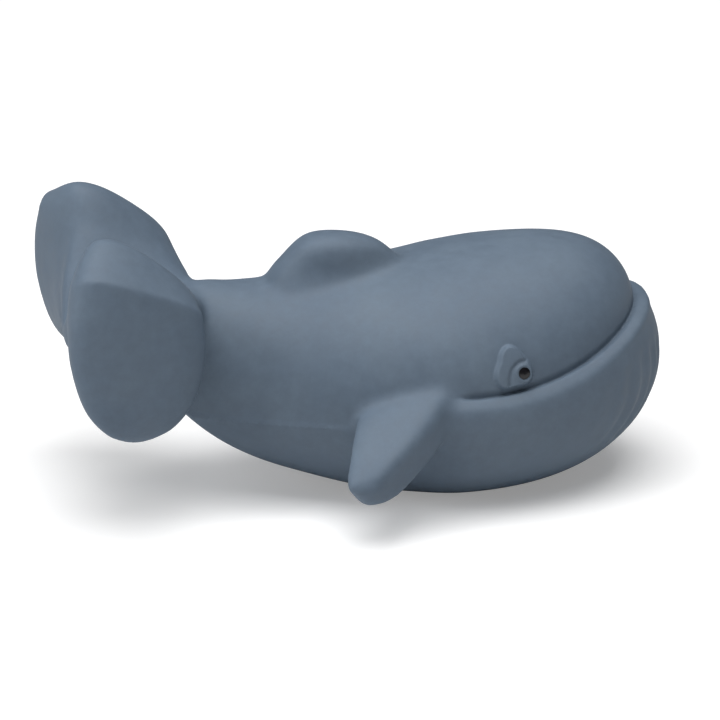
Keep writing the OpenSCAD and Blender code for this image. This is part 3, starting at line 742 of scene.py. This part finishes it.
rubber = {"tone": (0.109, 0.147, 0.195), "pale": (0.121, 0.162, 0.21), "deep": (0.097, 0.134, 0.182),
          "rough": 0.6, "roughLess": 0.06, "roughMore": 0.08, "gloss": 0.28, "fleck": (0.94, 1.06),
          "grain": 1400, "speckle": 420, "mottle": 46, "bump": 0.12, "bumpDeep": 0.00006}
smooth = {
    "pupilBlack": {"colour": (0.004, 0.004, 0.006), "rough": 0.28, "metallic": 0.0,
                   "nodes": ["left_pupil", "right_pupil"]},
    "squeakerPlastic": {"colour": (0.78, 0.77, 0.72), "rough": 0.4, "metallic": 0.0,
                        "nodes": ["squeaker_cup", "squeaker_cap", "reed_seat", "reed_clamp"]},
    "reedBrass": {"colour": (0.72, 0.5, 0.19), "rough": 0.28, "metallic": 1.0, "nodes": ["reed"]},
}


def newMaterial(name):
    material = bpy.data.materials.new(name)
    material.use_nodes = True
    tree = material.node_tree
    return material, tree, tree.nodes["Principled BSDF"]


def addNode(tree, kind, **values):
    node = tree.nodes.new(kind)
    for key, value in values.items():
        if key in node.inputs:
            node.inputs[key].default_value = value
        else:
            setattr(node, key, value)
    return node


def mapRange(tree, **ends):  # fromMin=0.3 sets the socket From Min
    sockets = {"fromMin": "From Min", "fromMax": "From Max", "toMin": "To Min", "toMax": "To Max"}
    return addNode(tree, "ShaderNodeMapRange", **{sockets[key]: value for key, value in ends.items()})


def makeRubber():
    material, tree, shader = newMaterial("matteRubber")
    place = addNode(tree, "ShaderNodeTexCoord")
    mottle = addNode(tree, "ShaderNodeTexNoise", Scale=rubber["mottle"], Detail=5.0, Roughness=0.6)
    speckle = addNode(tree, "ShaderNodeTexNoise", Scale=rubber["speckle"], Detail=3.0, Roughness=0.7)
    grain = addNode(tree, "ShaderNodeTexNoise", Scale=rubber["grain"], Detail=2.0, Roughness=0.5)
    for noise in (mottle, speckle, grain):
        tree.links.new(place.outputs["Object"], noise.inputs["Vector"])
    tones = addNode(tree, "ShaderNodeValToRGB")
    tones.color_ramp.elements[0].position = 0.3
    tones.color_ramp.elements[0].color = (*rubber["deep"], 1)
    tones.color_ramp.elements[1].position = 0.72
    tones.color_ramp.elements[1].color = (*rubber["pale"], 1)
    middle = tones.color_ramp.elements.new(0.5)
    middle.color = (*rubber["tone"], 1)
    tree.links.new(mottle.outputs["Fac"], tones.inputs["Fac"])
    fleck = mapRange(tree, fromMin=0.35, fromMax=0.75, toMin=rubber["fleck"][0], toMax=rubber["fleck"][1])
    tree.links.new(speckle.outputs["Fac"], fleck.inputs["Value"])
    tint = addNode(tree, "ShaderNodeMix", data_type="RGBA", blend_type="MULTIPLY")
    tint.inputs["Factor"].default_value = 1
    tree.links.new(tones.outputs["Color"], tint.inputs["A"])
    tree.links.new(fleck.outputs["Result"], tint.inputs["B"])
    tree.links.new(tint.outputs["Result"], shader.inputs["Base Color"])
    gloss = mapRange(tree, fromMin=0.3, fromMax=0.7, toMin=rubber["rough"] - rubber["roughLess"],
                     toMax=rubber["rough"] + rubber["roughMore"])
    tree.links.new(speckle.outputs["Fac"], gloss.inputs["Value"])
    tree.links.new(gloss.outputs["Result"], shader.inputs["Roughness"])
    bump = addNode(tree, "ShaderNodeBump", Strength=rubber["bump"], Distance=rubber["bumpDeep"])
    tree.links.new(grain.outputs["Fac"], bump.inputs["Height"])
    tree.links.new(bump.outputs["Normal"], shader.inputs["Normal"])
    shader.inputs["Specular IOR Level"].default_value = rubber["gloss"]
    return material


def makeSmooth(name, look):  # one even colour, with a little wear in tone and roughness
    material, tree, shader = newMaterial(name)
    place = addNode(tree, "ShaderNodeTexCoord")
    smear = addNode(tree, "ShaderNodeTexNoise", Scale=900.0, Detail=3.0)
    tree.links.new(place.outputs["Object"], smear.inputs["Vector"])
    worn = mapRange(tree, toMin=look["rough"] * 0.8, toMax=look["rough"] * 1.25)
    tree.links.new(smear.outputs["Fac"], worn.inputs["Value"])
    tree.links.new(worn.outputs["Result"], shader.inputs["Roughness"])
    shade = addNode(tree, "ShaderNodeMix", data_type="RGBA")
    shade.inputs["A"].default_value = (*[c * 0.9 for c in look["colour"]], 1)
    shade.inputs["B"].default_value = (*[min(c * 1.08, 1) for c in look["colour"]], 1)
    tree.links.new(smear.outputs["Fac"], shade.inputs["Factor"])
    tree.links.new(shade.outputs["Result"], shader.inputs["Base Color"])
    shader.inputs["Metallic"].default_value = look["metallic"]
    return material


def dress(obj, material):
    obj.data.materials.clear()
    obj.data.materials.append(material)


# Camera, floor and light: the camera in millimetres, the studio in metres

view = {"target": (-20, 0, 25), "azimuth": -9.5, "elevation": 20, "distance": 1300, "lens": 325,
        "sensor": 36, "shift": (0.0236, -0.0035)}
studio = {
    "floor": 0.8, "floorRough": 0.9, "floorSize": 6, "floorDrop": 0.0002, "glow": 0.27, "world": 0.04,
    "keyLamp": {"place": (-0.06, -0.1, 0.85), "aim": (-0.01, 0, 0.02), "power": 11, "size": 0.9},
    "sideLamp": {"place": (-0.68, -0.16, 0.36), "aim": (-0.03, 0, 0.03), "power": 2.0, "size": 0.45},
}


def makeCamera():
    a, e = math.radians(view["azimuth"]), math.radians(view["elevation"])
    back = Vector((math.sin(a) * math.cos(e), -math.cos(a) * math.cos(e), math.sin(e)))
    bpy.ops.object.camera_add(location=(Vector(view["target"]) + back * view["distance"]) * mm)
    camera = bpy.context.object
    camera.rotation_euler = (-back).to_track_quat("-Z", "Y").to_euler()
    camera.data.lens, camera.data.sensor_width = view["lens"], view["sensor"]
    camera.data.shift_x, camera.data.shift_y = view["shift"]
    bpy.context.scene.camera = camera


def makeLamp(name):
    look = studio[name]
    bpy.ops.object.light_add(type="AREA", location=look["place"])
    lamp = bpy.context.object
    lamp.name = name
    lamp.data.energy, lamp.data.size = look["power"], look["size"]
    lamp.rotation_euler = (Vector(look["aim"]) - Vector(look["place"])).to_track_quat("-Z", "Y").to_euler()


def makeFloor():  # keeps the shadow; the glow is only in what the camera sees
    bpy.ops.mesh.primitive_plane_add(size=studio["floorSize"], location=(0, 0, -studio["floorDrop"]))
    floor = bpy.context.object
    floor.name = "floor"
    material, tree, shader = newMaterial("paperFloor")
    shader.inputs["Base Color"].default_value = (studio["floor"],) * 3 + (1,)
    shader.inputs["Roughness"].default_value = studio["floorRough"]
    path = addNode(tree, "ShaderNodeLightPath")
    level = addNode(tree, "ShaderNodeMath", operation="MULTIPLY")
    level.inputs[1].default_value = studio["glow"]
    glow = addNode(tree, "ShaderNodeEmission")
    both = addNode(tree, "ShaderNodeAddShader")
    tree.links.new(path.outputs["Is Camera Ray"], level.inputs[0])
    tree.links.new(level.outputs[0], glow.inputs["Strength"])
    tree.links.new(shader.outputs[0], both.inputs[0])
    tree.links.new(glow.outputs[0], both.inputs[1])
    tree.links.new(both.outputs[0], tree.nodes["Material Output"].inputs["Surface"])
    dress(floor, material)


def makeStudio():
    makeFloor()
    world = bpy.data.worlds.new("softRoom")
    bpy.context.scene.world = world
    world.use_nodes = True
    tree = world.node_tree
    backdrop = tree.nodes["Background"]
    backdrop.inputs["Color"].default_value = (1, 1, 1, 1)
    path = addNode(tree, "ShaderNodeLightPath")
    level = mapRange(tree, toMin=studio["world"], toMax=1.0)  # white to the camera, dim to the object
    tree.links.new(path.outputs["Is Camera Ray"], level.inputs["Value"])
    tree.links.new(level.outputs["Result"], backdrop.inputs["Strength"])
    makeLamp("keyLamp")
    makeLamp("sideLamp")
    bpy.context.scene.view_settings.view_transform = "Standard"
    print("studio: floor, world and two lamps")


wholeSkin = makeSkin()
addDetails(wholeSkin)
backSkin, bellySkin = makeShells(wholeSkin)
matteRubber = makeRubber()
for piece, node in ((backSkin, "back_shell"), (bellySkin, "belly_shell")):
    dress(piece, matteRubber)
    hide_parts(node)
    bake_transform(piece)
for name, look in smooth.items():
    material = makeSmooth(name, look)
    for node in look["nodes"]:
        dress(nodes[node], material)
print("dressed: rubber skins, pupils and squeaker")
makeCamera()
makeStudio()
